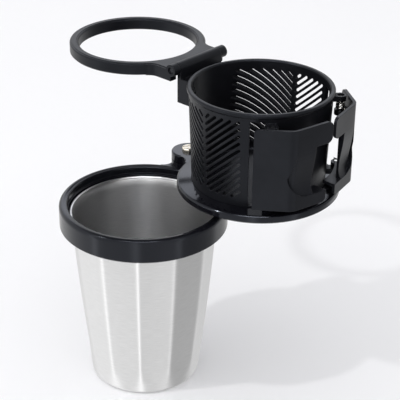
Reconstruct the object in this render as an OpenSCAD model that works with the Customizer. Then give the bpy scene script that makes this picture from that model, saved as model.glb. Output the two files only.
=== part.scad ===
// Two-place drink holder: a fluted steel cup hangs in a black collar, and above it a
// vented basket stands on a disc that swivels about a screw in the collar's lug.
// A ring folds over the basket's rim, and two sprung wings open on upright pins.
// The cup's axis is the origin, its foot stands on z = 0, and +X is to the right.

/* [Steel cup] */
// Height of the cup from its foot to the middle of its rolled mouth
cup_h = 104.3; // [95:0.1:115]
// Outer radius of the cup's wall at its mouth
cup_top_r = 41.5; // [40:0.1:43]
// Outer radius of the cup's wall at its foot
cup_foot_r = 31.2; // [29:0.1:33]
// Thickness of the cup's wall between the flutes
cup_wall = 1.5; // [1.3:0.1:2]
// How far the wall bellies out half-way up
cup_belly = 1; // [0.8:0.1:1.4]
// Depth of a flute half-way up
flute_depth = 0.8; // [0.5:0.1:0.9]
// Number of flutes round the cup
flute_count = 12; // [10:1:14]

/* [Collar and pivot] */
// Outer radius of the collar
collar_r = 47.5; // [46.5:0.1:49]
// Height of the collar
collar_h = 13.7; // [12.5:0.1:16]
// Height of the collar's top above the middle of the cup's rolled mouth
collar_rise = 6.4; // [5.5:0.1:7]
// How far outside the collar's edge the pivot stands
pivot_out = 6.2; // [5.5:0.1:10]
// Direction of the pivot seen from the cup's axis, in degrees
pivot_turn = 62.6; // [50:0.1:75]
// How far the disc is swung out from over the cup, in degrees
open_angle = 75.1; // [60:0.1:100]
// Radius of the two lugs at the pivot
lug_r = 10.2; // [9:0.1:11]
// Height of the spacing boss on the collar's lug
boss_h = 3.5; // [2.5:0.1:6]
// Thickness of the thrust washer on the boss
washer_t = 0.5; // [0.3:0.1:1]
// Radius of the pivot screw's plain shoulder
shoulder_r = 2.6; // [2.4:0.1:3]

/* [Disc and basket] */
// Outer radius of the disc under the basket
disc_r = 46.1; // [45.5:0.1:48]
// Thickness of the disc at its edge
disc_t = 4.7; // [4.4:0.1:6]
// Outer radius of the basket's wall at its foot
basket_foot_r = 37.6; // [37:0.1:38]
// Outer radius of the basket's wall under its lip
basket_top_r = 39.8; // [39.2:0.1:40]
// Height of the basket above the disc
basket_h = 55.7; // [54:0.1:60]
// Thickness of the basket's wall
basket_wall = 1.9; // [1.6:0.1:2.4]
// How far the lip stands out from the wall
lip_out = 0.9; // [0.5:0.1:1.2]
// Thickness of the basket's floor
floor_t = 3.2; // [3:0.1:4]

/* [Vents] */
// Width of a vent slot
vent_w = 1.7; // [1.2:0.1:2]
// Upright distance from one slot to the next
vent_pitch = 4.1; // [3.8:0.1:5]
// Slope of the slots, in degrees
vent_slope = 42; // [36:1:46]
// Direction of the chevrons' points from the middle of the wings, in degrees
vent_spine = 99.5; // [98:0.5:101]
// Width of the half of each chevron towards the wings, in degrees
vent_near = 33; // [28:0.5:34]
// Width of the half of each chevron towards the ring's hinge, in degrees
vent_far = 50; // [40:0.5:51]

/* [Flip ring] */
// How far the ring reaches past the basket's wall under its lip
ring_over = 0.2; // [-0.3:0.1:0.7]
// Radial width of the ring
ring_w = 5.2; // [4.5:0.1:6]
// Thickness of the ring
ring_t = 6.9; // [6:0.1:7.2]
// How far outside the basket's wall the ring's hinge stands
hinge_out = 7.9; // [7.2:0.1:9.2]
// Radius of the hinge's knuckles
knuckle_r = 3.5; // [3.2:0.1:3.7]
// Length of the middle knuckle
knuckle_l = 34; // [30:0.5:36]
// Length of each end knuckle
end_knuckle_l = 4.5; // [4:0.1:6]
// Radius of the hinge pins
pin_r = 1.4; // [1.2:0.1:1.5]

/* [Wings] */
// Height of a wing
wing_h = 46.6; // [45:0.1:47.4]
// Thickness of a wing's wall
wing_wall = 1.8; // [1.5:0.1:2]
// How far outside the basket's wall a wing's pins stand
wing_pin_out = 3.9; // [3.7:0.1:4.4]
// Direction of a wing's pins from the middle of the wings, in degrees
wing_pin_turn = 42; // [41:0.5:43]
// Gap between the two wings' tips
tip_gap = 2.4; // [1.6:0.1:4]
// Height of the lower lip below the finger pocket
lip_h = 6.9; // [6.5:0.1:8]
// Height of the arm above the finger opening
arm_h = 12.2; // [11:0.1:14]
// Depth of the finger scoop in a wing's face
scoop_depth = 2.3; // [1.9:0.1:2.4]

/* [Hidden] */
$fn = 96;

// Clearances: seated parts, running bores and open gaps
seat_gap = 0.05;
run_gap = 0.06;
free_gap = 0.4;
// Overrun that carries a cutter past the face it opens
pass = 1;

// Colours of the mouldings and metals
satin_black = [0.17, 0.17, 0.19];
gloss_black = [0.1, 0.1, 0.11];
steel = [0.72, 0.72, 0.71];
nickel = [0.75, 0.73, 0.69];

// Levels of the pieces that stack up on the cup
collar_top = cup_h + collar_rise;
collar_foot = collar_top - collar_h;
boss_top = collar_top + boss_h;
disc_foot = boss_top + washer_t + 2 * seat_gap;
disc_top = disc_foot + disc_t;
crown_rise = 0.9;
disc_web = 2.6;
basket_foot = disc_foot + disc_web + seat_gap;
basket_floor = basket_foot + floor_t;
basket_top = disc_top + crown_rise + basket_h;

// Plan positions: the pivot, the basket's axis and the way the wings face
pivot_reach = collar_r + pivot_out;
hinge_reach = basket_top_r + hinge_out;
wing_pin_reach = max(basket_foot_r, basket_top_r) + wing_pin_out;
ring_r = basket_top_r + ring_over;
pivot = pivot_reach * [cos(pivot_turn), sin(pivot_turn)];
holder_turn = pivot_turn + 180 + open_angle;
holder = pivot + pivot_reach * [cos(holder_turn), sin(holder_turn)];

// The holder's own frame: +X towards the wings, -X towards its lug and the ring
module on_holder() {
    translate([holder[0], holder[1], 0]) rotate(holder_turn) children();
}

// Points of an arc about c from angle a to angle b, in n steps
function arc(c, r, a, b, n) =
    [for (i = [0:n]) c + r * [cos(a + (b - a) * i / n), sin(a + (b - a) * i / n)]];

// Point that lies d1 out along direction a1 and d2 out along direction a2
function meet(a1, d1, a2, d2) =
    [d1 * sin(a2) - d2 * sin(a1), d2 * cos(a1) - d1 * cos(a2)] / sin(a2 - a1);

// A list of points in the opposite order
function reverse(p) = [for (i = [len(p) - 1:-1:0]) p[i]];

// Flat web with filleted flanks between a round body at the origin and a lug on +X
web_fillet = 6;
module lug_web(big, lug, reach, root) {
    x = (pow(big + web_fillet, 2) - pow(lug + web_fillet, 2) + reach * reach) / (2 * reach);
    y = sqrt(pow(big + web_fillet, 2) - x * x);
    difference() {
        polygon([[0, 0], [x, -y], [reach, 0], [x, y]]);
        circle(root);
        translate([x, y]) circle(web_fillet);
        translate([x, -y]) circle(web_fillet);
    }
}

// Square outline with its corners rounded, from its lower left corner
module rounded(w, h, r) {
    translate([r, 0]) square([w - 2 * r, h]);
    translate([0, r]) square([w, h - 2 * r]);
    for (x = [r, w - r], y = [r, h - r]) translate([x, y]) circle(r, $fn = 24);
}

// Steel cup: its wall bellies a little between foot and mouth
cup_lean = atan((cup_top_r - cup_foot_r) / cup_h);
foot_bend = 2.5;
foot_rise = 1.4;
mouth_roll_r = 0.85;
mouth_out = 0.35;
mouth_r = cup_top_r - mouth_roll_r + mouth_out;
foot_ring_w = 5.5;
panel_r = 80;
first_flute = 0.32;
function cup_r(z) = cup_foot_r + (cup_top_r - cup_foot_r) * z / cup_h
    + 4 * cup_belly * (z / cup_h) * (1 - z / cup_h);
function cup_side(inset, z0, z1, n) =
    [for (i = [0:n]) let (z = z0 + (z1 - z0) * i / n) [cup_r(z) - inset, z]];

module cup_shape(inset, foot) {
    low = foot + foot_bend;
    bend = foot_bend - inset / 2;
    rotate_extrude() polygon(concat([[0, foot]],
        arc([cup_r(low) - inset - bend, foot + bend], bend, -90, -10, 5),
        cup_side(inset, low, cup_h, 6), [[0, cup_h]]));
}

// One panel's pressing face: a wide drum that leans with the wall
module panel() {
    translate([cup_foot_r + cup_belly - flute_depth - panel_r, 0, 0]) rotate([0, cup_lean, 0])
        translate([0, 0, -cup_h]) cylinder(h = 3 * cup_h, r = panel_r, $fn = 192);
}

module steel_cup() {
    color(steel) difference() {
        union() {
            intersection() {
                cup_shape(0, 0);
                intersection_for (i = [0:flute_count - 1])
                    rotate((i + first_flute) * 360 / flute_count) panel();
            }
            translate([0, 0, cup_h]) rotate_extrude() translate([mouth_r, 0]) circle(mouth_roll_r, $fn = 24);
        }
        cup_shape(cup_wall, foot_rise + cup_wall);
        translate([0, 0, cup_h - pass / 2]) cylinder(h = 3 * pass, r = cup_top_r - cup_wall);
        translate([0, 0, -pass]) difference() {
            cylinder(h = foot_rise + pass, r = cup_foot_r - foot_ring_w);
            cylinder(h = foot_rise + pass, r = cup_foot_r / 2);
        }
    }
}

// Collar: the cup's rolled mouth hangs on the ledge of its bore
collar_round = 2.3;
collar_edge = 0.8;
rim_drop = 0.3;
ledge_z = cup_h - mouth_roll_r - seat_gap;
throat_r = mouth_r + mouth_roll_r + free_gap;
throat_flare = 1.5;
flare_r = 1;
flare_run = 0.1;
sill_rise = 2.7;
sill_w = 0.4;
lug_drop = 0.6;
nut_across = 7;
nut_t = 3.2;
nut_in = 1.2;
nut_z = collar_foot + nut_in;
thread_r = 2;
thread_gap = 0.1;

module collar() {
    sill = cup_h + sill_rise;
    under_ledge = 4;
    color(gloss_black) difference() {
        union() {
            rotate_extrude() polygon(concat(
                [[cup_r(collar_foot) + seat_gap, collar_foot], [collar_r - collar_edge, collar_foot],
                 [collar_r, collar_foot + collar_edge]],
                arc([collar_r - collar_round, collar_top - collar_round], collar_round, 0, 90, 6),
                [[throat_r + throat_flare + flare_run, collar_top - rim_drop]],
                arc([throat_r + throat_flare, collar_top - rim_drop - flare_r], flare_r, 100, 180, 4),
                [[throat_r + sill_w, sill], [throat_r, sill], [throat_r, ledge_z],
                 [cup_r(ledge_z) + seat_gap, ledge_z]]));
            translate([0, 0, collar_foot]) rotate(pivot_turn) linear_extrude(collar_h - lug_drop)
                lug_web(collar_r, lug_r, pivot_reach, throat_r + 2 * flare_r);
            translate([pivot[0], pivot[1], collar_foot]) cylinder(h = collar_h + boss_h, r = lug_r);
        }
        difference() {
            translate([0, 0, collar_foot - pass])
                cylinder(h = collar_h + boss_h + 2 * pass, r = throat_r + sill_w);
            translate([0, 0, collar_foot - 2 * pass])
                cylinder(h = collar_h + 2 * pass - under_ledge, r = throat_r + pass);
        }
        translate([pivot[0], pivot[1], collar_foot - pass]) {
            cylinder(h = collar_h + boss_h + 2 * pass, r = thread_r + thread_gap, $fn = 48);
            rotate(pivot_turn) cylinder(h = nut_z + nut_t + seat_gap - collar_foot + pass,
                r = nut_across / sqrt(3) + seat_gap, $fn = 6);
        }
    }
}

module pivot_nut() {
    color(nickel) translate([pivot[0], pivot[1], nut_z]) difference() {
        rotate(pivot_turn) cylinder(h = nut_t, r = nut_across / sqrt(3), $fn = 6);
        translate([0, 0, -pass]) cylinder(h = nut_t + 2 * pass, r = thread_r, $fn = 48);
    }
}

head_r = 3.9;
head_h = 2.5;
head_round = 1.3;
head_dome = 0.3;
slot_w = 1.1;
slot_d = 1.3;
screw_out = 0.6;
module pivot_screw() {
    head_foot = disc_top + seat_gap;
    color(nickel) translate([pivot[0], pivot[1], 0]) difference() {
        union() {
            translate([0, 0, nut_z - screw_out])
                cylinder(h = head_foot - nut_z, r = thread_r - seat_gap, $fn = 48);
            translate([0, 0, boss_top + seat_gap])
                cylinder(h = head_foot - boss_top, r = shoulder_r, $fn = 48);
            rotate_extrude($fn = 48) polygon(concat(
                [[0, head_foot], [head_r, head_foot]],
                arc([head_r - head_round, head_foot + head_h - head_round - head_dome], head_round, 0, 75, 5),
                [[0, head_foot + head_h]]));
        }
        translate([-head_r - pass, -slot_w / 2, head_foot + head_h - slot_d])
            cube([2 * (head_r + pass), slot_w, slot_d + pass]);
    }
}

washer_r = 7;
washer_gap = 0.15;
module pivot_washer() {
    color(nickel) translate([pivot[0], pivot[1], boss_top + seat_gap]) difference() {
        cylinder(h = washer_t, r = washer_r);
        translate([0, 0, -pass]) cylinder(h = washer_t + 2 * pass, r = shoulder_r + washer_gap, $fn = 48);
    }
}

// Disc: its crown rises to meet the basket, which stands in a shallow recess
screw_ring = 24;
screw_r = 1.25;
screw_head_r = 2.6;
screw_head_h = 1.4;
screw_gap = 0.15;
sink_gap = 0.2;
cross_l = 2.6;
cross_w = 0.6;
cross_d = 0.9;
screw_short = 0.8;
hole_short = 0.7;
disc_edge = 0.9;

module base_disc() {
    edge = 1.5;
    seat_r = basket_r(disc_top + crown_rise + pass) + seat_gap;
    color(gloss_black) on_holder() difference() {
        union() {
            translate([0, 0, disc_foot]) rotate_extrude() polygon(concat(
                [[0, 0], [disc_r - disc_edge, 0], [disc_r, disc_edge]],
                arc([disc_r - edge, disc_t - edge], edge, 0, 85, 5),
                [[seat_r, disc_t + crown_rise], [0, disc_t + crown_rise]]));
            translate([0, 0, disc_foot]) rotate(180) linear_extrude(disc_t)
                lug_web(disc_r, lug_r, pivot_reach, disc_r - 2 * edge - pass);
            translate([-pivot_reach, 0, disc_foot]) rotate_extrude() polygon(concat(
                [[0, 0], [lug_r, 0]],
                arc([lug_r - disc_edge, disc_t - disc_edge], disc_edge, 0, 90, 4), [[0, disc_t]]));
        }
        translate([0, 0, disc_foot + disc_web]) cylinder(h = disc_t, r = seat_r);
        translate([-pivot_reach, 0, disc_foot - pass])
            cylinder(h = disc_t + 2 * pass, r = shoulder_r + run_gap, $fn = 48);
        for (i = [0:3]) rotate(45 + 90 * i) translate([screw_ring, 0, disc_foot]) {
            translate([0, 0, -pass]) cylinder(h = disc_t + pass, r = screw_r + screw_gap, $fn = 36);
            translate([0, 0, -pass / 10])
                cylinder(h = screw_head_h + pass / 10, r1 = screw_head_r + sink_gap, r2 = screw_r + sink_gap,
                    $fn = 36);
        }
    }
}

// Countersunk screw from under the disc into the basket's floor
module basket_screw(i) {
    color(nickel) on_holder() rotate(45 + 90 * i) translate([screw_ring, 0, disc_foot]) difference() {
        union() {
            cylinder(h = screw_head_h, r1 = screw_head_r, r2 = screw_r, $fn = 36);
            translate([0, 0, screw_head_h / 2])
                cylinder(h = disc_web + floor_t - screw_head_h / 2 - screw_short, r = screw_r, $fn = 36);
        }
        for (a = [0, 90]) rotate(a) translate([-cross_l / 2, -cross_w / 2, -pass])
            cube([cross_l, cross_w, cross_d + pass]);
    }
}

// Basket: radius of its outside at a height
lip_h_outer = 2.9;
lip_foot = basket_top - lip_h_outer;
lip_r = 1;
mouth_chamfer = 0.6;
floor_round = 2;
function basket_r(z) = basket_foot_r
    + (basket_top_r - basket_foot_r) * (z - basket_foot) / (lip_foot - basket_foot);
vent_foot = 5.3;
vent_head = 5.1;
vent_low = disc_top + vent_foot;
vent_high = basket_top - vent_head;
vent_end = 0.8;
vent_least = 1.2;
window_from = 46.5;
window_to = 58.5;
window_foot = 0.8;
window_head = 4.4;
window_round = 1.2;
window_reach = 6;

// Positions of the ring's hinge and of the wings' pins
hinge_rise = 1.3;
hinge_z = basket_top + hinge_rise;
bracket_h = 18.7;
bracket_in = 0.8;
wing_pin = wing_pin_reach * [cos(wing_pin_turn), sin(wing_pin_turn)];
wing_rise = 5.1;
wing_foot = disc_top + wing_rise;
wing_top = wing_foot + wing_h;
ear_r = 3.1;
web_in = 0.25;
ear_t = 3.1;
ear_drop = 0.6;
low_ear_foot = wing_foot - ear_drop;
pin_sink = 0.8;
pin_sink_w = 0.6;

// One half of a chevron: slots that rise away from the spine, cut off level at both ends
module vent_half(span) {
    steps = floor((vent_high - vent_low) / vent_pitch + span * tan(vent_slope) / vent_pitch);
    start = vent_end + vent_w / 2;
    low = vent_low + vent_w / 2;
    high = vent_high - vent_w / 2;
    for (k = [1:steps - 1]) {
        at_spine = vent_high - k * vent_pitch;
        x0 = max(start, (low - at_spine) / tan(vent_slope));
        x1 = min(span, (high - at_spine) / tan(vent_slope));
        if (x1 - x0 > vent_least) translate([x0, at_spine + x0 * tan(vent_slope)]) rotate(vent_slope)
            slot((x1 - x0) / cos(vent_slope));
    }
}

module slot(length) {
    translate([0, -vent_w / 2]) square([length, vent_w]);
    circle(vent_w / 2, $fn = 16);
    translate([length, 0]) circle(vent_w / 2, $fn = 16);
}

// Both halves are cut straight out to the side, as the mould's slide pulls; +x leads to the hinge
module vents(side) {
    mid_r = basket_r((vent_low + vent_high) / 2);
    spine_x = mid_r * sin(vent_spine - 90);
    rotate(side * 90) translate([basket_foot_r / 4, 0, 0]) rotate([90, 0, 90]) linear_extrude(basket_top_r)
        mirror([side - 1, 0]) translate([spine_x, 0]) {
            vent_half(mid_r * sin(vent_spine - 90 + vent_far) - spine_x);
            mirror([1, 0]) vent_half(mid_r * sin(vent_near - vent_spine + 90) + spine_x);
        }
}

module ear(z, h) {
    translate([0, 0, z]) linear_extrude(h) {
        translate([wing_pin_reach, 0]) circle(ear_r, $fn = 48);
        translate([basket_foot_r - 1, web_in - ear_r])
            square([wing_pin_reach - basket_foot_r + 1, 2 * (ear_r - web_in)]);
    }
}

module basket() {
    inner_top_r = basket_top_r - basket_wall;
    inner_foot_r = basket_foot_r - basket_wall;
    block_out = hinge_reach - bracket_in;
    block_low = basket_top - bracket_h;
    color(satin_black) on_holder() difference() {
        union() {
            rotate_extrude() polygon(concat(
                [[0, basket_foot], [basket_foot_r, basket_foot], [basket_top_r, lip_foot],
                 [basket_top_r + lip_out, lip_foot + lip_out]],
                arc([basket_top_r + lip_out - lip_r, basket_top - lip_r], lip_r, 0, 90, 4),
                [[0, basket_top]]));
            translate([-block_out, -knuckle_l / 2, block_low])
                cube([block_out - basket_foot_r + pass, knuckle_l, lip_foot - 1.2 * pass - block_low]);
            translate([-block_out, -knuckle_l / 2, lip_foot - 2 * pass])
                cube([knuckle_r - bracket_in, knuckle_l, hinge_z - lip_foot + 2 * pass]);
            translate([-hinge_reach, knuckle_l / 2, hinge_z]) rotate([90, 0, 0])
                cylinder(h = knuckle_l, r = knuckle_r, $fn = 48);
            for (side = [-1, 1]) rotate(side * wing_pin_turn) {
                ear(wing_top - ear_t, ear_t);
                ear(low_ear_foot, ear_t);
            }
        }
        rotate_extrude() polygon(concat([[0, basket_floor]],
            arc([inner_foot_r - floor_round, basket_floor + floor_round], floor_round, -90, 0, 4),
            [[inner_top_r, basket_top - mouth_chamfer - 0.2], [inner_top_r + mouth_chamfer, basket_top],
             [inner_top_r + mouth_chamfer, basket_top + pass], [0, basket_top + pass]]));
        for (side = [-1, 1]) {
            vents(side);
            rotate(side * (window_from + window_to) / 2) translate([basket_foot_r - window_reach, 0, 0])
                window();
            rotate(side * wing_pin_turn) translate([wing_pin_reach, 0, low_ear_foot - pass]) {
                cylinder(h = wing_h + 2 * pass, r = pin_r, $fn = 36);
                translate([0, 0, wing_top - low_ear_foot + pass - pin_sink])
                    cylinder(h = pin_sink + pass, r = pin_r + pin_sink_w, $fn = 36);
            }
        }
        translate([-hinge_reach, knuckle_l / 2 + pass, hinge_z]) rotate([90, 0, 0])
            cylinder(h = knuckle_l + 2 * pass, r = pin_r, $fn = 36);
        for (i = [0:3]) rotate(45 + 90 * i) translate([screw_ring, 0, basket_foot - pass])
            cylinder(h = floor_t - hole_short + pass, r = screw_r + seat_gap, $fn = 36);
    }
}

module window() {
    width = 2 * basket_foot_r * sin((window_to - window_from) / 2);
    low = disc_top + crown_rise + window_foot;
    rotate([90, 0, 90]) linear_extrude(2 * window_reach) translate([-width / 2, low])
        rounded(width, basket_top - window_head - low, window_round);
}

// Flip ring: lies level beside the basket and folds over onto its rim
ring_rise = 0.7;
ring_z = hinge_z + ring_rise - ring_t;
ring_step = 0.35;
ring_edge = 0.8;
bore_edge = 0.6;
bead_in = 1.3;
bead_side = 0.2;
knuckle_gap = 0.3;
arm_w = knuckle_l / 2 + knuckle_gap + end_knuckle_l;
arm_fillet = 8;
pin_short = 0.9;

// Half-width w and fillet f of the arm between ring and hinge
module arm_plan(r, w, f) {
    x = -2 * hinge_reach + sqrt(pow(r + f, 2) - pow(w + f, 2));
    difference() {
        translate([-2 * hinge_reach, 0]) polygon([[0, 0], [x + 2 * hinge_reach, -w - f],
            [hinge_reach, -w - f], [hinge_reach, w + f], [x + 2 * hinge_reach, w + f]]);
        for (side = [-1, 1]) {
            translate([x, side * (w + f)]) circle(f);
            translate([x, side * (w + f) - f]) square([2 * hinge_reach, 2 * f]);
        }
        translate([-2 * hinge_reach, 0]) circle(ring_r - ring_w / 2);
    }
}

module flip_ring() {
    notch_w = knuckle_l / 2 + knuckle_gap;
    top = ring_z + ring_t;
    bore_r = ring_r - ring_w;
    color(satin_black) on_holder() difference() {
        union() {
            translate([-2 * hinge_reach, 0, 0]) rotate_extrude() polygon([
                [bore_r, ring_z + bore_edge], [bore_r + bore_edge, ring_z], [ring_r - ring_edge, ring_z],
                [ring_r, ring_z + ring_edge], [ring_r, top - 1], [ring_r - 0.3, top - 0.5],
                [ring_r - ring_edge, top - ring_step], [ring_r - bead_in + bead_side, top - ring_step],
                [ring_r - bead_in, top], [bore_r + bead_in, top],
                [bore_r + bead_in - bead_side, top - ring_step],
                [bore_r + 0.7, top - ring_step], [bore_r, top - 1]]);
            translate([0, 0, ring_z]) linear_extrude(ring_t - ring_step) arm_plan(ring_r, arm_w, arm_fillet);
            translate([0, 0, ring_z]) linear_extrude(ring_t)
                arm_plan(ring_r - bead_in, arm_w - bead_in, arm_fillet + bead_in);
            for (y = [-arm_w + end_knuckle_l, arm_w]) translate([-hinge_reach, y, hinge_z])
                rotate([90, 0, 0]) cylinder(h = end_knuckle_l, r = knuckle_r, $fn = 48);
        }
        translate([-hinge_reach - knuckle_r - free_gap, -notch_w, ring_z - pass])
            cube([2 * knuckle_r + 2 * free_gap, 2 * notch_w, ring_t + 2 * knuckle_r]);
        translate([-hinge_reach, arm_w + pass, hinge_z]) rotate([90, 0, 0])
            cylinder(h = 2 * arm_w + 2 * pass, r = pin_r + run_gap, $fn = 36);
        for (side = [-1, 1]) translate([-hinge_reach, side * arm_w + pin_sink, hinge_z]) rotate([90, 0, 0])
            cylinder(h = 2 * pin_sink, r = pin_r + pin_sink_w, $fn = 36);
    }
}

module ring_pin() {
    half = arm_w - pin_short;
    color(nickel) on_holder() translate([-hinge_reach, half, hinge_z]) rotate([90, 0, 0])
        cylinder(h = 2 * half, r = pin_r, $fn = 36);
}

// Wing: outer face in plan, g further in: flat face, round corner, back
face_turn = 11.8;
face_off = 6.5;
face_reach = wing_pin_reach + face_off;
back_turn = 54;
back_off = 5.45;
corner_r = 8;
end_off = 9.1;
back_reach = wing_pin[0] * cos(back_turn) + wing_pin[1] * sin(back_turn) + back_off;
end_reach = end_off - wing_pin[0] * sin(back_turn) + wing_pin[1] * cos(back_turn);
corner = meet(face_turn, face_reach - corner_r, back_turn, back_reach - corner_r);
function wing_path(g) = concat(
    [meet(face_turn, face_reach - g, 90, tip_gap / 2)],
    arc(corner, corner_r - g, face_turn, back_turn, 8),
    [meet(back_turn, back_reach - g, back_turn + 90, end_reach)]);

// Finger scoop: it follows the face, bowl-shaped at its foot and fading out below the arm
scoop_wall = 1.3;
scoop_bowl = 5.5;
scoop_s = 28.2;
scoop_round = 12.5;
scoop_lean = 9;
opening_s = 12;
lip_s = 4;
pocket_z = wing_foot + lip_h;
arm_foot = wing_top - arm_h;
scoop_drop = 0.6;
scoop_top = arm_foot - scoop_drop;

// Section of the scoop: x is the distance out from the face, y the height
module scoop_section() {
    fade = scoop_top - pocket_z - scoop_bowl;
    polygon(concat([[pass, pocket_z]],
        [for (a = [0:15:90]) [-scoop_depth * sin(a), pocket_z + scoop_bowl * (1 - cos(a))]],
        [for (i = [1:8]) let (u = i / 8)
            [-scoop_depth * (1 - u * u * (3 - 2 * u)), scoop_top - fade * (1 - u)]],
        [[pass, scoop_top]]));
}

// The scoop along one flat side, which lies reach out along direction turn
module scoop_side(turn, reach) {
    rotate(turn) translate([reach, face_reach, 0]) rotate([90, 0, 0])
        linear_extrude(2 * face_reach) scoop_section();
}

// The scoop round the corner; it bites a hair less than the flat sides, so it crosses them
module scoop_corner() {
    bite = 0.02;
    lap = 2;
    translate([corner[0], corner[1], 0]) intersection() {
        rotate_extrude() translate([corner_r + bite, 0]) scoop_section();
        translate([0, 0, wing_foot]) linear_extrude(wing_h) polygon([[0, 0],
            2 * corner_r * [cos(face_turn + lap), sin(face_turn + lap)],
            2 * corner_r * [cos(back_turn - lap), sin(back_turn - lap)]]);
    }
}

module scoop() {
    low = pocket_z - 0.02;
    intersection() {
        union() {
            scoop_side(face_turn, face_reach);
            scoop_side(back_turn, back_reach);
            scoop_corner();
        }
        rotate([90, 0, 90]) linear_extrude(2 * face_reach) polygon(concat([[0, low]],
            arc([scoop_s - scoop_round, low + scoop_round], scoop_round, -90, 0, 16),
            [[scoop_s - scoop_lean, wing_top], [0, wing_top]]));
    }
}

// Cutter that rounds the lower left corner of an upright edge
module corner_cut(r) {
    translate([wing_pin[0], 0, 0]) rotate([90, 0, 90]) linear_extrude(face_reach) difference() {
        translate([-pass, -pass]) square(r + pass);
        translate([r, r]) circle(r + 0.1);
    }
}

up_knuckle_drop = 11.4;
up_knuckle_z = wing_top - up_knuckle_drop;
up_knuckle_h = 2.9;
shelf_t = 1.6;
low_knuckle_z = low_ear_foot + ear_t + free_gap;
low_knuckle_h = pocket_z - shelf_t / 2 - low_knuckle_z;
wing_knuckle_r = 3.2;

module wing_knuckle(z, h) {
    translate([wing_pin[0], wing_pin[1], z]) rotate(back_turn) linear_extrude(h) {
        circle(wing_knuckle_r, $fn = 48);
        translate([0, web_in - wing_knuckle_r])
            square([back_off - wing_wall * 0.3, 2 * (wing_knuckle_r - web_in)]);
    }
}

module wing() {
    shelf_r = wing_pin_reach - 1.2;
    shelf_s = wing_pin[1] + wing_wall;
    tip_round = 3.5;
    end_round = 3;
    lip_round = 3;
    difference() {
        union() {
            translate([0, 0, wing_foot]) linear_extrude(wing_h)
                polygon(concat(wing_path(0), reverse(wing_path(wing_wall))));
            translate([0, 0, pocket_z - shelf_t * 0.6]) linear_extrude(scoop_top - pocket_z) intersection() {
                polygon(concat(wing_path(wing_wall * 0.7), reverse(wing_path(scoop_depth + scoop_wall))));
                translate([0, opening_s - pass]) square([2 * face_reach, scoop_s - opening_s + 2 * pass]);
            }
            translate([0, 0, pocket_z - shelf_t]) linear_extrude(shelf_t) difference() {
                intersection() {
                    polygon(concat(wing_path(wing_wall / 2), [[0, tip_gap / 2]]));
                    square([2 * face_reach, shelf_s]);
                }
                circle(shelf_r);
            }
            wing_knuckle(up_knuckle_z, up_knuckle_h);
            wing_knuckle(low_knuckle_z, low_knuckle_h);
        }
        scoop();
        translate([wing_pin[0], -pass, pocket_z]) cube([face_reach, opening_s + pass, arm_foot - pocket_z]);
        translate([wing_pin[0], -pass, wing_foot - pass]) cube([face_reach, lip_s + pass, lip_h + 2 * pass]);
        translate([0, lip_s, wing_foot]) corner_cut(lip_round);
        translate([0, tip_gap / 2, arm_foot]) corner_cut(tip_round);
        translate([0, tip_gap / 2, wing_top]) mirror([0, 0, 1]) corner_cut(tip_round);
        rotate(back_turn) translate([0, end_reach, wing_top]) mirror([0, 1, 0]) mirror([0, 0, 1])
            corner_cut(end_round);
        translate([wing_pin[0], wing_pin[1], wing_foot - pass])
            cylinder(h = wing_h + 2 * pass, r = pin_r + run_gap, $fn = 36);
    }
}

module wing_front() {
    color(satin_black) on_holder() mirror([0, 1, 0]) wing();
}

module wing_rear() {
    color(satin_black) on_holder() wing();
}

module wing_pin_at(side, z0, z1) {
    color(nickel) on_holder() rotate(side * wing_pin_turn) translate([wing_pin_reach, 0, z0])
        cylinder(h = z1 - z0, r = pin_r, $fn = 36);
}

// Torsion spring on the upper pin: close coils, one leg on the basket, one on the wing
coil_r = 2.15;
wire_r = 0.4;
leg_r = 0.34;
leg_l = 5;
back_leg_l = 3;
coil_pitch = 0.68;
module wing_spring() {
    low = up_knuckle_z + up_knuckle_h + knuckle_gap + wire_r;
    turns = floor((wing_top - ear_t - knuckle_gap - wire_r - low) / coil_pitch);
    translate([wing_pin[0], wing_pin[1], low]) {
        for (i = [0:turns]) translate([0, 0, i * coil_pitch]) rotate_extrude($fn = 48)
            translate([coil_r, 0]) circle(wire_r, $fn = 16);
        rotate(back_turn) translate([coil_r, 0, 0]) rotate([90, 0, 0])
            cylinder(h = leg_l, r = leg_r, $fn = 16);
        rotate(wing_pin_turn + 90) translate([coil_r, 0, turns * coil_pitch]) rotate([-90, 0, 0])
            cylinder(h = back_leg_l, r = leg_r, $fn = 16);
    }
}

module wing_spring_front() {
    color(nickel) on_holder() mirror([0, 1, 0]) wing_spring();
}

module wing_spring_rear() {
    color(nickel) on_holder() wing_spring();
}

pin_top = wing_top - pin_short;
up_pin_foot = up_knuckle_z - 0.2;
low_pin_top = pocket_z - 0.3;
steel_cup();
collar();
pivot_nut();
pivot_screw();
pivot_washer();
base_disc();
basket();
basket_screw(0);  // basket_screw_1
basket_screw(1);  // basket_screw_2
basket_screw(2);  // basket_screw_3
basket_screw(3);  // basket_screw_4
flip_ring();
ring_pin();
wing_front();
wing_rear();
wing_pin_at(-1, up_pin_foot, pin_top);  // wing_pin_front_upper
wing_pin_at(-1, low_ear_foot, low_pin_top);  // wing_pin_front_lower
wing_pin_at(1, up_pin_foot, pin_top);  // wing_pin_rear_upper
wing_pin_at(1, low_ear_foot, low_pin_top);  // wing_pin_rear_lower
wing_spring_front();
wing_spring_rear();
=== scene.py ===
# %% [markdown]
# # Car cup holder
# A steel cup drops into a car's cup well. The black collar round its mouth carries a
# disc that swivels aside, with a vented drink basket, two sprung wings and a ring
# that folds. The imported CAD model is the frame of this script: it brings every piece
# to its place, and no CAD piece is moved or reshaped here. What follows gives the
# pieces their finishes, presses the cup's flutes, winds the two wing springs, and
# lights and views the whole as the photograph does.

# %% Load the frame
import math

import bmesh
import bpy
from mathutils import Matrix, Vector


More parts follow.
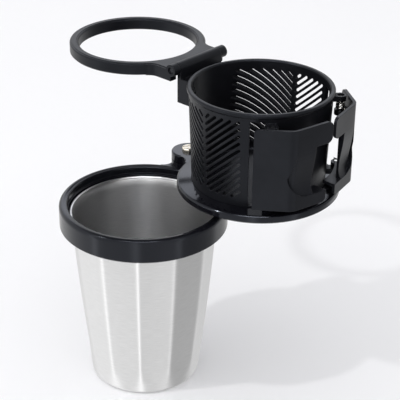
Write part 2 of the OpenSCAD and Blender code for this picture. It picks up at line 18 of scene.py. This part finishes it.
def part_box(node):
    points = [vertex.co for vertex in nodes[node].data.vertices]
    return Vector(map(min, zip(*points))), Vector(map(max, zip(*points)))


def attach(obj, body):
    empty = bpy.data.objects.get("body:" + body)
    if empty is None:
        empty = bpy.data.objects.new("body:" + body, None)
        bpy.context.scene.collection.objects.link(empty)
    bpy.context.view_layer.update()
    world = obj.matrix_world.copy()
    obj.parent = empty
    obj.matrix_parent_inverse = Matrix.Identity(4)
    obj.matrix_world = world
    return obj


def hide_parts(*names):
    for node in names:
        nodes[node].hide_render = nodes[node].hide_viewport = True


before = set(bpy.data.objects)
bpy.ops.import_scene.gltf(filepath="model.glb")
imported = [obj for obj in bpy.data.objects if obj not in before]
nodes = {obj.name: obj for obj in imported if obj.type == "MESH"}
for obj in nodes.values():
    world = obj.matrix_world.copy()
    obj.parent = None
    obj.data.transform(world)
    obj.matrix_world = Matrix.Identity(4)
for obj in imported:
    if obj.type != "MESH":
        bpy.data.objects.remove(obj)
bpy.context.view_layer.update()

# %% [markdown]
# Materials are graphs of nodes. Writing each link by hand makes a script long and
# hard to follow, so a few helpers do it: a value that comes out of another node is
# linked, and any other value is set on the socket.

# %% Helpers for nodes


def plug(tree, socket, value):
    """Links a value that another node puts out, and sets any other value."""
    if isinstance(value, bpy.types.NodeSocket):
        tree.links.new(value, socket)
    else:
        socket.default_value = value


def wire(tree, node, **values):
    """Fills the sockets of a node; a space in a socket's name is written as _."""
    for key, value in values.items():
        plug(tree, node.inputs[key.replace("_", " ")], value)


def add(tree, kind, **values):
    """A new node; each keyword is a socket, or else a property of the node."""
    node = tree.nodes.new("ShaderNode" + kind)
    for key, value in values.items():
        if key.replace("_", " ") in node.inputs:
            wire(tree, node, **{key: value})
        else:
            setattr(node, key, value)
    return node


def calc(tree, operation, first, second):
    """The result of a Math node on two values."""
    node = add(tree, "Math", operation=operation)
    plug(tree, node.inputs[0], first)
    plug(tree, node.inputs[1], second)
    return node.outputs[0]


def ramp(tree, factor, stops):
    """The colour of a ramp whose stops are (position, grey or colour)."""
    node = add(tree, "ValToRGB", Fac=factor)
    elements = node.color_ramp.elements
    while len(elements) < len(stops):
        elements.new(0.5)
    for element, (position, tone) in zip(elements, stops):
        element.position = position
        element.color = (*tone, 1) if isinstance(tone, tuple) else (tone, tone, tone, 1)
    return node.outputs["Color"]


print("helpers:", plug.__name__, wire.__name__, add.__name__, calc.__name__, ramp.__name__)

# %% [markdown]
# An effect that several finishes share is built once, as a node group, and placed in
# each material with its own values. The surface itself stays in the material.

# %% Helpers for groups and materials


def new_group(name, inputs, outputs):
    """A group; inputs are (name, kind, default) and outputs are (name, kind)."""
    tree = bpy.data.node_groups.new(name, "ShaderNodeTree")
    for label, kind, value in inputs:
        socket = tree.interface.new_socket(
            name=label, in_out="INPUT", socket_type="NodeSocket" + kind)
        socket.default_value = value
    for label, kind in outputs:
        tree.interface.new_socket(
            name=label, in_out="OUTPUT", socket_type="NodeSocket" + kind)
    given = tree.nodes.new("NodeGroupInput").outputs
    made = tree.nodes.new("NodeGroupOutput").inputs
    return tree, given, made


def place_group(tree, group, **values):
    """Places a group in a material and returns what it puts out."""
    node = add(tree, "Group", node_tree=group)
    wire(tree, node, **values)
    return node.outputs


def new_material(name):
    """A material, its node tree and its Principled surface."""
    material = bpy.data.materials.new(name)
    material.use_nodes = True
    tree = material.node_tree
    tree.nodes.clear()
    surface = add(tree, "BsdfPrincipled")
    add(tree, "OutputMaterial", Surface=surface.outputs[0])
    return material, tree, surface


print("helpers:", new_group.__name__, place_group.__name__, new_material.__name__)

# %% [markdown]
# Moulded plastic is never quite even. It has the fine grain of a spark-eroded mould,
# patches that hands have polished, corners that a mould can't make knife-sharp, and
# it looks dull deep in its slots. Modelling that would take millions of faces, so
# the group gives it as a normal and two masks: noise makes the grain and the marks,
# a Bevel node rounds the normal at corners, and Ambient Occlusion finds the slots.

# %% Node group: moulded skin
SLOT_DEPTH = 0.004
GRAIN_DEPTH = 0.00006

mould, given, made = new_group(
    "moulded_skin",
    [("Grain", "Float", 0.1), ("Size", "Float", 3500.0), ("Edge", "Float", 0.0004)],
    [("Normal", "Vector"), ("Marks", "Float"), ("Open", "Float")])
place = add(mould, "TexCoord").outputs["Object"]
grain = add(mould, "TexNoise", Vector=place, Scale=given["Size"], Detail=2.0,
            Roughness=0.6).outputs["Fac"]
hands = add(mould, "TexNoise", Vector=place, Scale=55.0, Detail=5.0,
            Roughness=0.62).outputs["Fac"]
corner = add(mould, "Bevel", samples=6, Radius=given["Edge"]).outputs["Normal"]
bump = add(mould, "Bump", Strength=given["Grain"], Distance=GRAIN_DEPTH, Height=grain,
           Normal=corner)
hollow = add(mould, "AmbientOcclusion", samples=6, only_local=True,
             Distance=SLOT_DEPTH).outputs["AO"]
plug(mould, made["Normal"], bump.outputs["Normal"])
plug(mould, made["Marks"], ramp(mould, hands, [(0.35, 0.0), (0.7, 1.0)]))
plug(mould, made["Open"], ramp(mould, hollow, [(0.35, 0.0), (0.8, 1.0)]))
print("group:", mould.name)

# %% [markdown]
# The cup is brushed while it turns, so its scratches run round it: long round the
# cup, and hair-thin up its height. Plain noise would look like speckle. Here noise
# is read on the unrolled wall, with the turn about the axis as one direction and
# the height, stretched a thousandfold, as the other. A broader reading gives the
# patches where the brush pressed harder.

# %% Node group: brushed lines
PATCH_TURN = 2.2
PATCH_RISE = 45.0


def unrolled(tree, turn, height, across, along):
    """A point on the unrolled wall, stretched both ways."""
    return add(tree, "CombineXYZ", X=calc(tree, "MULTIPLY", turn, across),
               Y=calc(tree, "MULTIPLY", height, along)).outputs[0]


brush, given, made = new_group(
    "brushed_lines",
    [("Length", "Float", 4.0), ("Fineness", "Float", 5000.0)],
    [("Lines", "Float"), ("Patches", "Float")])
place = add(brush, "SeparateXYZ", Vector=add(brush, "TexCoord").outputs["Object"]).outputs
turn = calc(brush, "ARCTAN2", place["Y"], place["X"])
fine = unrolled(brush, turn, place["Z"], given["Length"], given["Fineness"])
lines = add(brush, "TexNoise", Vector=fine, Scale=1.0, Detail=4.0, Roughness=0.7)
broad = unrolled(brush, turn, place["Z"], PATCH_TURN, PATCH_RISE)
patches = add(brush, "TexNoise", Vector=broad, Scale=1.0, Detail=3.0, Roughness=0.55)
plug(brush, made["Lines"], lines.outputs["Fac"])
plug(brush, made["Patches"], patches.outputs["Fac"])
print("group:", brush.name)

# %% [markdown]
# Two black plastics are moulded. Basket, ring and wings are satin, and the collar
# and the disc are polished. Both are the same recipe with other values: a nearly
# black colour with a trace of blue, a sheen that changes with the handling marks,
# and a dull finish deep in the slots. One function makes both, so they stay a pair.

# %% Black plastics
SLOT_ROUGHNESS = 0.9
COOL_SHEEN = (0.82, 0.88, 1.0, 1.0)


def black_plastic(name, dark, light, dull, bright, grain, grain_size, edge, sheen):
    """dull and bright are the roughness outside and inside the handling marks."""
    material, tree, surface = new_material(name)
    skin = place_group(tree, mould, Grain=grain, Size=grain_size, Edge=edge)
    colour = ramp(tree, skin["Marks"], [(0.0, dark), (1.0, light)])
    marked = add(tree, "MapRange", Value=skin["Marks"], To_Min=dull, To_Max=bright)
    roughness = add(tree, "MapRange", Value=skin["Open"], To_Min=SLOT_ROUGHNESS,
                    To_Max=marked.outputs[0])
    wire(tree, surface, Base_Color=colour, Roughness=roughness.outputs[0],
         Normal=skin["Normal"], Specular_IOR_Level=sheen, Specular_Tint=COOL_SHEEN)
    return material


satin = black_plastic(
    "satin_black", dark=(0.0055, 0.0057, 0.0072), light=(0.0085, 0.0088, 0.011),
    dull=0.36, bright=0.3, grain=0.12, grain_size=3800.0, edge=0.0005, sheen=0.165)
gloss = black_plastic(
    "gloss_black", dark=(0.004, 0.004, 0.0058), light=(0.006, 0.006, 0.0085),
    dull=0.14, bright=0.09, grain=0.02, grain_size=900.0, edge=0.0003, sheen=0.28)
print("plastics:", satin.name, gloss.name)

# %% [markdown]
# Brushed steel smears each reflection across its scratches, which a plain metal
# doesn't do. The surface is therefore anisotropic, with its tangent round the cup's
# axis. The brushed lines also change the tone a little and lift a fine relief.

# %% Brushed steel
steel, tree, surface = new_material("brushed_steel")
marks = place_group(tree, brush, Length=5.0, Fineness=5200.0)
tone = ramp(tree, marks["Lines"], [(0.25, (0.52, 0.52, 0.522)), (0.75, (0.70, 0.70, 0.702))])
roughness = add(tree, "MapRange", Value=marks["Patches"], To_Min=0.25, To_Max=0.36)
relief = add(tree, "Bump", Strength=0.3, Distance=0.00003, Height=marks["Lines"])
round_axis = add(tree, "Tangent", direction_type="RADIAL", axis="Z")
wire(tree, surface, Base_Color=tone, Metallic=1.0, Roughness=roughness.outputs[0],
     Anisotropic=0.8, Anisotropic_Rotation=0.25, Tangent=round_axis.outputs[0],
     Normal=relief.outputs[0])
print("metal:", steel.name)

# %% [markdown]
# Screws, pins and springs are small and plated. They share the plastics' skin group,
# because plating too has soft corners and handling marks. The big pivot screw is a
# shade warmer than the rest.

# %% Plated metals


def plated(name, dark, light, bright, dull):
    """A plated metal; its roughness lies between bright and dull."""
    material, tree, surface = new_material(name)
    skin = place_group(tree, mould, Grain=0.05, Size=2500.0, Edge=0.00015)
    colour = ramp(tree, skin["Marks"], [(0.0, dark), (1.0, light)])
    roughness = add(tree, "MapRange", Value=skin["Marks"], To_Min=bright, To_Max=dull)
    wire(tree, surface, Base_Color=colour, Metallic=1.0, Roughness=roughness.outputs[0],
         Normal=skin["Normal"])
    return material


nickel = plated("plated_nickel", (0.66, 0.65, 0.62), (0.76, 0.75, 0.72), 0.2, 0.3)
warm = plated("warm_silver", (0.72, 0.67, 0.58), (0.82, 0.77, 0.68), 0.22, 0.32)
print("metals:", nickel.name, warm.name)

# %% [markdown]
# Every CAD piece takes one of these finishes. A piece that isn't in the list is a
# small metal one and takes the nickel.

# %% Dress the CAD pieces
FINISHES = {
    "steel_cup": steel, "collar": gloss, "base_disc": gloss, "basket": satin,
    "flip_ring": satin, "wing_front": satin, "wing_rear": satin, "pivot_screw": warm,
    "ring_pin": gloss,
}
for name, piece in nodes.items():
    piece.data.materials.clear()
    piece.data.materials.append(FINISHES.get(name, nickel))
print("dressed:", len(nodes))

# %% [markdown]
# Two forms are built as meshes: the fluted cup and the wire of the springs. Both are
# rows of rings with faces between them, so they share the helpers below.

# %% Helpers for ringed meshes


def bridge(build, lower, upper, steps):
    """Faces between two rings of points; a ring may also be a single point."""
    for k in range(steps):
        n = (k + 1) % steps
        corners = [lower[k % len(lower)], lower[n % len(lower)],
                   upper[n % len(upper)], upper[k % len(upper)]]
        build.faces.new(list(dict.fromkeys(corners)))


def piece_from(name, build):
    """Turns a bmesh into a smoothly shaded object."""
    bmesh.ops.recalc_face_normals(build, faces=build.faces)
    mesh = bpy.data.meshes.new(name)
    build.to_mesh(mesh)
    build.free()
    mesh.shade_smooth()
    piece = bpy.data.objects.new(name, mesh)
    bpy.context.scene.collection.objects.link(piece)
    return piece


def stand_in(piece, node, body, finish, slot):
    """Lets a new piece ride on a body in the place of a CAD node."""
    piece.data.materials.append(finish)
    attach(piece, body)
    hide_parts(node)
    print("made:", piece.name, "for", node, len(piece.data.polygons), "faces")


print("helpers:", bridge.__name__, piece_from.__name__, stand_in.__name__)

# %% [markdown]
# The cup is drawn from sheet steel: a foot with a pressed ring under it, a wall that
# leans out with a slight belly, and a mouth that is rolled over. Its outline is
# turned about the axis. Straight lines and arcs are all that the outline needs.

# %% Outline of the cup
CUP_H = 0.1043
FOOT_R = 0.0312
TOP_R = 0.0415
BELLY = 0.001
WALL = 0.0015
BEND_R = 0.0025
FOOT_RIM = 0.0055
FOOT_RISE = 0.0014
ROLL_R = 0.00085
ROLL_OUT = 0.00035
ROLL_BELOW = 0.0008
OUTER_ROWS = 56
INNER_ROWS = 24


def cup_radius(z):
    """The outer radius at a height, before the flutes are pressed in."""
    share = z / CUP_H
    return FOOT_R + (TOP_R - FOOT_R) * share + 4 * BELLY * share * (1 - share)


def arc(centre_r, centre_z, radius, degrees):
    """Points (radius, height) on an arc."""
    return [(centre_r + radius * math.cos(math.radians(d)),
             centre_z + radius * math.sin(math.radians(d))) for d in degrees]


def rows(start, stop, count):
    """Heights from start to stop in equal steps."""
    return [start + (stop - start) * i / count for i in range(count + 1)]


def cup_outline():
    """The outline below, along and above the outer wall, from the foot's middle."""
    wall_top = CUP_H - ROLL_BELOW
    floor_z = FOOT_RISE + WALL
    inner_low = floor_z + BEND_R
    foot = [(0.0, 0.0), (FOOT_R / 2, 0.0), (FOOT_R / 2, FOOT_RISE),
            (FOOT_R - FOOT_RIM, FOOT_RISE), (FOOT_R - FOOT_RIM, 0.0)]
    foot += arc(cup_radius(BEND_R) - BEND_R, BEND_R, BEND_R, range(-90, -5, 12))
    outer = [(cup_radius(z), z) for z in rows(BEND_R, wall_top, OUTER_ROWS)]
    inner = arc(TOP_R - ROLL_R + ROLL_OUT, CUP_H, ROLL_R, range(-35, 216, 15))
    inner += [(cup_radius(z) - WALL, z) for z in rows(wall_top, inner_low, INNER_ROWS)]
    inner += arc(cup_radius(inner_low) - WALL - BEND_R, inner_low, BEND_R, range(-10, -91, -16))
    inner.append((0.0, floor_z))
    return foot, outer, inner


print("cup outline:", sum(len(stretch) for stretch in cup_outline()), "points")

# %% [markdown]
# Twelve flutes are pressed into the wall. Each is a shallow panel, and neighbours
# meet in a soft ridge that draws a bright line down the steel. In the CAD the flutes
# fade towards the mouth, and on the real cup they run on under the collar. So this
# skin takes the place of the CAD cup, inside the same box. A bump would leave the
# outline round, and that is why real faces are pressed.

# %% Press the flutes
FLUTES = 12
FLUTE_DEPTH = 0.00105
FIRST_RIDGE = math.radians(27.5)
RIDGE_FROM = 0.76
FOOT_FADE = (0.004, 0.02)
MOUTH_FADE = (CUP_H - 0.002, CUP_H - 0.006)
POINTS_ROUND = 480
CREASE = math.radians(35)


def smooth(limits, value):
    """A soft step from 0 to 1 between two limits."""
    t = (value - limits[0]) / (limits[1] - limits[0])
    t = min(max(t, 0.0), 1.0)
    return t * t * (3 - 2 * t)


def pressed(angle, z):
    """How far the outer wall is pressed in; nothing on a ridge's crest."""
    pitch = 2 * math.pi / FLUTES
    across = abs(((angle - FIRST_RIDGE) / pitch) % 1.0 * 2 - 1)
    ridge = 1 - RIDGE_FROM
    crest = 1 - RIDGE_FROM ** 2 - RIDGE_FROM * ridge
    depth = 1 - across * across
    if across > RIDGE_FROM:
        past = across - RIDGE_FROM
        depth = 1 - RIDGE_FROM ** 2 - 2 * RIDGE_FROM * (past - past * past / (2 * ridge))
    return FLUTE_DEPTH * (depth - crest) * smooth(FOOT_FADE, z) * smooth(MOUTH_FADE, z)


def cup_ring(build, radius, z, fluted):
    """One ring of the cup's skin, or its single point on the axis."""
    if radius == 0.0:
        return [build.verts.new((0, 0, z))]
    ring = []
    for k in range(POINTS_ROUND):
        angle = 2 * math.pi * k / POINTS_ROUND
        r = radius - (pressed(angle, z) if fluted else 0.0)
        ring.append(build.verts.new((r * math.cos(angle), r * math.sin(angle), z)))
    return ring


build = bmesh.new()
foot, outer, inner = cup_outline()
rings = [cup_ring(build, r, z, False) for r, z in foot]
rings += [cup_ring(build, r, z, True) for r, z in outer]
rings += [cup_ring(build, r, z, False) for r, z in inner]
for lower, upper in zip(rings, rings[1:]):
    bridge(build, lower, upper, POINTS_ROUND)
cup = piece_from("cup_shell", build)
cup.data.set_sharp_from_angle(angle=CREASE)
stand_in(cup, "steel_cup", "base", steel, "brushed_steel")

# %% [markdown]
# A wing spring is a close coil of round wire on the wing's upper pin, with a straight
# leg at each end: one lies on the wing and one on the basket. The CAD gives the coil
# as a stack of separate rings, and here it is one wire in a helix. A curve with a
# bevel could draw it, but a tube of rings along a computed path closes its own ends.

# %% Draw a wire along a path
WIRE_R = 0.0004
WIRE_SIDES = 10
DRAWN_R = WIRE_R * 0.96


def wire_piece(name, path):
    """A closed tube along a list of points."""
    build = bmesh.new()
    rings = []
    normal = None
    for i, point in enumerate(path):
        ahead = path[min(i + 1, len(path) - 1)] - path[max(i - 1, 0)]
        ahead.normalize()
        if normal is None:
            normal = ahead.orthogonal().normalized()
        normal = (normal - ahead * normal.dot(ahead)).normalized()
        side = ahead.cross(normal)
        angles = [2 * math.pi * k / WIRE_SIDES for k in range(WIRE_SIDES)]
        rings.append([build.verts.new(point + DRAWN_R * (math.cos(a) * normal + math.sin(a) * side))
                      for a in angles])
    for lower, upper in zip(rings, rings[1:]):
        bridge(build, lower, upper, WIRE_SIDES)
    build.faces.new(reversed(rings[0]))
    build.faces.new(rings[-1])
    return piece_from(name, build)


print("wire:", 2 * WIRE_R, "m thick")

# %% [markdown]
# The path of each spring starts at the far end of its first leg, winds up the pin at
# an even rise, and leaves with a short second leg. The two springs are mirror images,
# so one sign turns the whole path over. Place and height come from the CAD's boxes.

# %% Wind the wing springs
COIL_R = 0.00215
COIL_RISE = 0.00082
LONG_LEG = (0.0048, 0.0032, 0.0016)
SHORT_LEG = (0.001, 0.0016)
HOLDER_TURN = 317.7
LEG_FROM = 54.0
LEG_APART = 78.0
STEPS_A_TURN = 28


def spring_path(centre, low, high, first, sign):
    """Leg, coil and leg; first is in degrees, and sign is -1 for the mirrored hand."""
    climb = high - low - 2 * WIRE_R
    turns = round(climb / COIL_RISE) + LEG_APART / 360
    start = math.radians(first)
    base = Vector((centre.x, centre.y, low + WIRE_R))
    out = Vector((math.cos(start), math.sin(start), 0))
    along = Vector((math.sin(start), -math.cos(start), 0)) * sign
    path = [base + out * COIL_R + along * reach for reach in LONG_LEG]
    steps = int(turns * STEPS_A_TURN)
    for i in range(steps + 1):
        angle = start + sign * 2 * math.pi * turns * i / steps
        path.append(base + Vector((math.cos(angle) * COIL_R, math.sin(angle) * COIL_R,
                                   climb * i / steps)))
    tail = Vector((-math.sin(angle), math.cos(angle), 0)) * sign
    for reach in SHORT_LEG:
        path.append(path[-1] + tail * reach)
    return path


for side, sign in (("front", -1), ("rear", 1)):
    pin_low, pin_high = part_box("wing_pin_" + side + "_upper")
    low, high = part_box("wing_spring_" + side)
    path = spring_path((pin_low + pin_high) / 2, low.z, high.z,
                       HOLDER_TURN + sign * LEG_FROM, sign)
    coil = wire_piece("coil_" + side, path)
    stand_in(coil, "wing_spring_" + side, "holder", nickel, "nickel")

# %% [markdown]
# The ground in the photograph is white and runs past the edges of the picture. A wide
# sheet of paper with a barely uneven tone does the same. Metal would mirror it as one
# even area, so glossy rays pass through it and meet the sky described below.

# %% Floor
FLOOR_HALF = 6.0
FLOOR_DROP = 0.0001

mesh = bpy.data.meshes.new("floor")
build = bmesh.new()
bmesh.ops.create_grid(build, x_segments=8, y_segments=8, size=FLOOR_HALF)
build.to_mesh(mesh)
build.free()
floor = bpy.data.objects.new("floor", mesh)
floor.location.z = -FLOOR_DROP
bpy.context.scene.collection.objects.link(floor)

paper, tree, surface = new_material("paper")
where = add(tree, "TexCoord").outputs["Object"]
uneven = add(tree, "TexNoise", Vector=where, Scale=2.2, Detail=3.0, Roughness=0.5)
white = ramp(tree, uneven.outputs["Fac"], [(0.3, (0.90, 0.90, 0.915)), (0.7, (0.925, 0.925, 0.935))])
wire(tree, surface, Base_Color=white, Roughness=0.9, Specular_IOR_Level=0.1)
clear = add(tree, "BsdfTransparent")
sheet = add(tree, "MixShader", Fac=add(tree, "LightPath").outputs["Is Glossy Ray"])
plug(tree, sheet.inputs[1], surface.outputs[0])
plug(tree, sheet.inputs[2], clear.outputs[0])
wire(tree, tree.nodes["Material Output"], Surface=sheet.outputs[0])
mesh.materials.append(paper)
print("floor:", floor.name, 2 * FLOOR_HALF, "m wide")

# %% [markdown]
# One small lamp, high on the left, throws the crisp shadow to the right. A small disk
# gives a crisp shadow and a large one a soft shadow, so its width is chosen by the
# edge of the ring's shadow on the floor.

# %% Lamp
LAMP_AT = Vector((-0.765, -0.302, 1.05))
LAMP_AIM = Vector((0.03, 0.03, 0.1))
LAMP_WIDTH = 0.055
LAMP_WATTS = 2.95

lamp_data = bpy.data.lights.new("key", "AREA")
lamp_data.shape = "DISK"
lamp_data.size = LAMP_WIDTH
lamp_data.energy = LAMP_WATTS
lamp = bpy.data.objects.new("key", lamp_data)
lamp.location = LAMP_AT
lamp.rotation_euler = (LAMP_AIM - LAMP_AT).to_track_quat("-Z", "Y").to_euler()
bpy.context.scene.collection.objects.link(lamp)
print("lamp:", tuple(round(v, 3) for v in lamp.location))

# %% [markdown]
# Metal and polished plastic show what stands round them, and a studio is not evenly
# white. Real panels could stand there, but each would also change the floor's light.
# So the sky is two skies: an even one that lights the scene, and one for glossy rays
# alone. The second has upright bands all the way round, each for one panel or ridge
# of the cup, a bright wall at the back for the flat black tops, a softbox high in
# front for the edges, and a dim zenith. A band's place runs from 0 to 1 round the
# sky, and its tone is the brightness there.

# %% Sky for glossy rays
ZENITH = (0.2, 0.2, 0.21, 1.0)
BACK_WALL = (2.0, 2.05, 2.2, 1.0)
SOFTBOX = (14.0, 14.0, 14.4, 1.0)
FIRST_PANEL = [(0.0, 1.23), (0.015, 1.23), (0.045, 1.4), (0.062, 2.3), (0.085, 1.15)]
SECOND_PANEL = [(0.11, 1.09), (0.17, 1.1), (0.2, 1.15), (0.228, 2.1), (0.25, 1.0)]
THIRD_PANEL = [(0.28, 0.96), (0.34, 1.07), (0.37, 1.1), (0.392, 1.7), (0.41, 0.75)]
DARK_PANEL = [(0.45, 0.6), (0.51, 0.58), (0.55, 0.66), (0.585, 1.15)]
RIGHT_AND_BACK = [(0.62, 0.92), (0.7, 0.78), (0.78, 0.85), (0.85, 0.95), (0.91, 1.25), (1.0, 1.23)]
DIM_FROM = 0.6
DIM_TO = 0.95
WALL_UP = (0.25, 0.4, 0.55, 0.68)
WALL_ROUND = (0.62, 0.72, 0.82, 0.92)
SOFTBOX_UP = (0.80, 0.84, 0.91, 0.93)
SOFTBOX_ROUND = (0.1, 0.16, 0.32, 0.36)


def window(tree, up, up_edges, around, around_edges):
    """A soft-edged panel on the sky; it is 1 between the middle two of its edges."""
    sides = [ramp(tree, place, list(zip(edges, (0.0, 1.0, 1.0, 0.0))))
             for place, edges in ((up, up_edges), (around, around_edges))]
    return calc(tree, "MULTIPLY", *sides)


world = bpy.data.worlds.new("studio")
bpy.context.scene.world = world
world.use_nodes = True
tree = world.node_tree
tree.nodes.clear()
toward = add(tree, "SeparateXYZ", Vector=add(tree, "TexCoord").outputs["Generated"]).outputs
turn = calc(tree, "ARCTAN2", toward["Y"], toward["X"])
around = add(tree, "MapRange", Value=turn, From_Min=-math.pi, From_Max=math.pi).outputs[0]
bands = ramp(tree, around, FIRST_PANEL + SECOND_PANEL + THIRD_PANEL + DARK_PANEL + RIGHT_AND_BACK)
overhead = add(tree, "MapRange", Value=toward["Z"], From_Min=DIM_FROM, From_Max=DIM_TO).outputs[0]
dimmed = add(tree, "MixRGB", Fac=overhead, Color1=bands, Color2=ZENITH).outputs[0]
wall = window(tree, toward["Z"], WALL_UP, around, WALL_ROUND)
walled = add(tree, "MixRGB", Fac=wall, Color1=dimmed, Color2=BACK_WALL).outputs[0]
box = window(tree, toward["Z"], SOFTBOX_UP, around, SOFTBOX_ROUND)
glossy = add(tree, "MixRGB", Fac=box, Color1=walled, Color2=SOFTBOX).outputs[0]
print("sky nodes:", len(tree.nodes))

# %% [markdown]
# The even sky is a shade brighter overhead. Is Glossy Ray chooses between the two.

# %% Even sky
SKY_STRENGTH = 1.03

height = add(tree, "MapRange", Value=toward["Z"], From_Min=0.0, From_Max=0.9).outputs[0]
even = ramp(tree, height, [(0.0, (0.93, 0.93, 0.945)), (1.0, (0.95, 0.95, 0.96))])
is_glossy = add(tree, "LightPath").outputs["Is Glossy Ray"]
sky = add(tree, "MixRGB", Fac=is_glossy, Color1=even, Color2=glossy).outputs[0]
light = add(tree, "Background", Color=sky, Strength=SKY_STRENGTH)
add(tree, "OutputWorld", Surface=light.outputs[0])
print("world:", world.name)

# %% [markdown]
# The camera stands where the photograph's did. Its place, its tilt of 27.7 degrees
# below level and its turn of a little over half a degree were fitted to the outlines
# of the collar, disc, rim, ring and cup. The focal length was fitted in pixels of a
# picture 400 pixels wide, and a 36 mm sensor makes a lens of about 115 mm of it.

# %% Camera
TILT = 0.483915
ROLL = 0.01109
CAMERA_AT = (0.031686, -0.634113, 0.444325)
FOCAL_PIXELS = 1276
PICTURE_PIXELS = 400
SENSOR = 36

forward = Vector((0, math.cos(TILT), -math.sin(TILT)))
right = Vector((1, 0, 0))
up = right.cross(forward)
x_axis = right * math.cos(ROLL) + up * math.sin(ROLL)
y_axis = up * math.cos(ROLL) - right * math.sin(ROLL)
camera_data = bpy.data.cameras.new("camera")
camera_data.lens = FOCAL_PIXELS * SENSOR / PICTURE_PIXELS
camera_data.sensor_width = SENSOR
camera_data.clip_start = 0.05
camera_data.clip_end = 50
camera = bpy.data.objects.new("camera", camera_data)
bpy.context.scene.collection.objects.link(camera)
turned = Matrix((x_axis, y_axis, -forward)).transposed().to_4x4()
camera.matrix_world = Matrix.Translation(CAMERA_AT) @ turned
bpy.context.scene.camera = camera
bpy.context.scene.view_settings.view_transform = "Standard"
print("lens:", round(camera_data.lens, 2), "mm")

# %% [markdown]
# Last, the view layer is brought up to date.

# %% Finish
bpy.context.view_layer.update()
